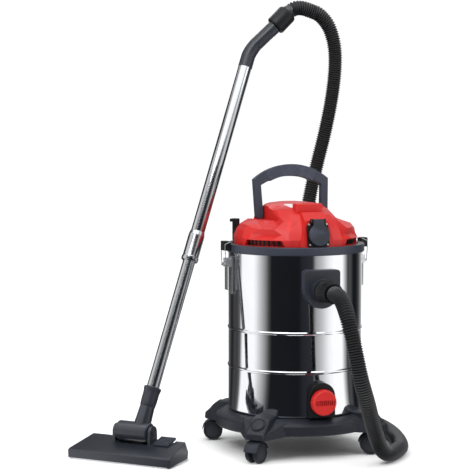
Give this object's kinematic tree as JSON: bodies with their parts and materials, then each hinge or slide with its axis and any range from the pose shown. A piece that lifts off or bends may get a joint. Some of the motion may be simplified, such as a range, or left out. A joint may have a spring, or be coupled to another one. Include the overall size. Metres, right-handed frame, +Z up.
{
  "type": "shop vacuum",
  "caption": "Wet and dry shop vacuum with a polished steel drum, red motor head, castered trolley, ribbed hose, telescopic wand and floor head.",
  "frame": {"origin": "on the floor under the middle of the whole machine's outline, the free hose left out", "axes": "+Z up; the hose port, drain and appliance outlet face -Y; +X to the right seen from that side, with the floor head lying at -X"},
  "size_m": [0.8827, 0.7112, 1.1475],
  "materials": {
    "polished_steel": "polished",
    "chrome_steel": "mirror",
    "zinc_steel": "zinc plated",
    "charcoal_plastic": "satin",
    "black_plastic": "satin",
    "red_plastic": "semi-gloss",
    "pale_plastic": "satin",
    "seal_rubber": "matt",
    "filter_paper": "pleated paper",
    "brush_fibre": "bristle",
    "hose_plastic": "ribbed"
  },
  "bodies": {
    "machine": {"tub": "polished_steel", "trolley_base": "charcoal_plastic", "inlet_plate": "charcoal_plastic", "drain_boss": "black_plastic", "drain_seal": "seal_rubber", "latch_base_left": "chrome_steel", "latch_base_right": "chrome_steel", "hose": "hose_plastic", "hose_handle": "charcoal_plastic", "upper_tube": "chrome_steel", "tube_sleeve": "chrome_steel"},
    "head": {"lid_base": "charcoal_plastic", "lid_gasket": "seal_rubber", "lid_hook_left": "black_plastic", "lid_hook_right": "black_plastic", "motor_cover": "red_plastic", "vent_grille_left": "black_plastic", "vent_grille_right": "black_plastic", "top_panel": "pale_plastic", "cord_gland": "black_plastic", "cord_hook": "black_plastic", "outlet_plate": "black_plastic", "outlet_pin": "zinc_steel", "outlet_screw_top_left": "zinc_steel", "outlet_screw_top_right": "zinc_steel", "outlet_screw_bottom_left": "zinc_steel", "outlet_screw_bottom_right": "zinc_steel", "motor": "zinc_steel", "float_cage": "black_plastic", "cartridge_filter": "filter_paper"},
    "handle": {"carry_handle": "charcoal_plastic"},
    "switch": {"power_switch": "red_plastic"},
    "flap": {"outlet_flap": "charcoal_plastic"},
    "fan": {"impeller": "pale_plastic"},
    "float": {"float_ball": "pale_plastic"},
    "cuff": {"inlet_cuff": "black_plastic"},
    "collar": {"hose_collar": "black_plastic"},
    "cap": {"drain_cap": "red_plastic"},
    "lower_wand": {"lower_tube": "chrome_steel", "neck_cuff": "charcoal_plastic"},
    "tube_release": {"release_button": "chrome_steel"},
    "neck": {"neck_barrel": "charcoal_plastic"},
    "sweeper": {"floor_head": "charcoal_plastic", "sole_plate": "zinc_steel"},
    "pedal": {"foot_pedal": "charcoal_plastic"},
    "brush": {"brush_strip": "brush_fibre"},
    "sweeper_wheels": {"nozzle_wheels": "black_plastic"},
    "swivel_front_left": {"caster_hood_front_left": "charcoal_plastic"},
    "wheels_front_left": {"caster_wheels_front_left": "charcoal_plastic"},
    "swivel_front_right": {"caster_hood_front_right": "charcoal_plastic"},
    "wheels_front_right": {"caster_wheels_front_right": "charcoal_plastic"},
    "swivel_rear_right": {"caster_hood_rear_right": "charcoal_plastic"},
    "wheels_rear_right": {"caster_wheels_rear_right": "charcoal_plastic"},
    "swivel_rear_left": {"caster_hood_rear_left": "charcoal_plastic"},
    "wheels_rear_left": {"caster_wheels_rear_left": "charcoal_plastic"},
    "lever_left": {"latch_lever_left": "chrome_steel"},
    "bail_left": {"latch_bail_left": "zinc_steel"},
    "lever_right": {"latch_lever_right": "chrome_steel"},
    "bail_right": {"latch_bail_right": "zinc_steel"}
  },
  "joints": [
    {"name": "caster_swivel_front_left", "type": "hinge", "parent": "machine", "child": "swivel_front_left", "pos_m": [0.0366, -0.1337, 0.07], "axis": [0, 0, 1], "continuous": true},
    {"name": "caster_roll_front_left", "type": "hinge", "parent": "swivel_front_left", "child": "wheels_front_left", "pos_m": [0.02689, -0.14075, 0.025], "axis": [-0.5878, 0.809, 0], "continuous": true},
    {"name": "caster_swivel_front_right", "type": "hinge", "parent": "machine", "child": "swivel_front_right", "pos_m": [0.3476, -0.1337, 0.07], "axis": [0, 0, 1], "continuous": true},
    {"name": "caster_roll_front_right", "type": "hinge", "parent": "swivel_front_right", "child": "wheels_front_right", "pos_m": [0.33601, -0.13059, 0.025], "axis": [0.2588, 0.9659, 0], "continuous": true},
    {"name": "caster_swivel_rear_right", "type": "hinge", "parent": "machine", "child": "swivel_rear_right", "pos_m": [0.3476, 0.1773, 0.07], "axis": [0, 0, 1], "continuous": true},
    {"name": "caster_roll_rear_right", "type": "hinge", "parent": "swivel_rear_right", "child": "wheels_rear_right", "pos_m": [0.33632, 0.1732, 0.025], "axis": [-0.342, 0.9397, 0], "continuous": true},
    {"name": "caster_swivel_rear_left", "type": "hinge", "parent": "machine", "child": "swivel_rear_left", "pos_m": [0.0366, 0.1773, 0.07], "axis": [0, 0, 1], "continuous": true},
    {"name": "caster_roll_rear_left", "type": "hinge", "parent": "swivel_rear_left", "child": "wheels_rear_left", "pos_m": [0.02532, 0.1814, 0.025], "axis": [0.342, 0.9397, 0], "continuous": true},
    {"name": "latch_lever_swing_left", "type": "hinge", "parent": "machine", "child": "lever_left", "pos_m": [0.0086, 0.0218, 0.479], "axis": [0, 1, 0], "range_deg": [0, 115]},
    {"name": "latch_bail_swing_left", "type": "hinge", "parent": "head", "child": "bail_left", "pos_m": [0.0121, 0.0218, 0.5315], "axis": [0, 1, 0], "range_deg": [0, 60]},
    {"name": "latch_lever_swing_right", "type": "hinge", "parent": "machine", "child": "lever_right", "pos_m": [0.3756, 0.0218, 0.479], "axis": [0, -1, 0], "range_deg": [0, 115]},
    {"name": "latch_bail_swing_right", "type": "hinge", "parent": "head", "child": "bail_right", "pos_m": [0.3721, 0.0218, 0.5315], "axis": [0, -1, 0], "range_deg": [0, 60]},
    {"name": "head_lift_off", "type": "slide", "parent": "machine", "child": "head", "axis": [0, 0, 1], "range_m": [0, 0.2]},
    {"name": "carry_handle_fold", "type": "hinge", "parent": "head", "child": "handle", "pos_m": [0.1921, 0.0498, 0.598], "axis": [-1, 0, 0], "range_deg": [0, 70]},
    {"name": "power_switch_rock", "type": "hinge", "parent": "head", "child": "switch", "pos_m": [0.1921, -0.0582, 0.623], "axis": [1, 0, 0], "range_deg": [-6, 6]},
    {"name": "outlet_flap_lift", "type": "hinge", "parent": "head", "child": "flap", "pos_m": [0.1921, -0.1338, 0.5895], "axis": [-1, 0, 0], "range_deg": [0, 105], "stiffness_Nm_per_rad": 0.004, "springref_deg": -34.38},
    {"name": "fan_spin", "type": "hinge", "parent": "head", "child": "fan", "pos_m": [0.1921, 0.0218, 0.53], "axis": [0, 0, 1], "continuous": true},
    {"name": "float_rise", "type": "slide", "parent": "head", "child": "float", "axis": [0, 0, 1], "range_m": [0, 0.026]},
    {"name": "inlet_cuff_swivel", "type": "hinge", "parent": "machine", "child": "cuff", "pos_m": [0.1921, -0.1767, 0.419], "axis": [0, 1, 0], "continuous": true},
    {"name": "drain_cap_turn", "type": "hinge", "parent": "machine", "child": "cap", "pos_m": [0.1921, -0.1672, 0.144], "axis": [0, -1, 0], "range_deg": [0, 90]},
    {"name": "tube_telescope", "type": "slide", "parent": "machine", "child": "lower_wand", "axis": [0.3516, 0.2033, 0.9138], "range_m": [0, 0.31]},
    {"name": "tube_release_slide", "type": "slide", "parent": "machine", "child": "tube_release", "axis": [0.3516, 0.2033, 0.9138], "range_m": [0, 0.01], "stiffness_N_per_m": 150},
    {"name": "neck_swivel", "type": "hinge", "parent": "lower_wand", "child": "neck", "pos_m": [-0.22575, 0.00404, 0.066], "axis": [0.3516, 0.2033, 0.9138], "range_deg": [-60, 60]},
    {"name": "sweeper_tilt", "type": "hinge", "parent": "neck", "child": "sweeper", "pos_m": [-0.2364, 0.0153, 0.066], "axis": [0.6871, -0.7266, 0], "range_deg": [-25, 35]},
    {"name": "pedal_press", "type": "hinge", "parent": "sweeper", "child": "pedal", "pos_m": [-0.19282, -0.06048, 0.0405], "axis": [-0.6871, 0.7266, 0], "range_deg": [0, 5]},
    {"name": "brush_lower", "type": "slide", "parent": "sweeper", "child": "brush", "axis": [0, 0, -1], "range_m": [0, 0.004]},
    {"name": "sweeper_wheels_roll", "type": "hinge", "parent": "sweeper", "child": "sweeper_wheels", "pos_m": [-0.21969, 0.0311, 0.0087], "axis": [0.6871, -0.7266, 0], "continuous": true},
    {"name": "hose_collar_swivel", "type": "hinge", "parent": "machine", "child": "collar", "pos_m": [0.2401, 0.1968, 1.116], "axis": [-0.6998, 0.0664, -0.7112], "continuous": true}
  ],
  "couplings": [
    {"joint": "brush_lower", "follows": "pedal_press", "m_per_rad": 0.04}
  ]
}
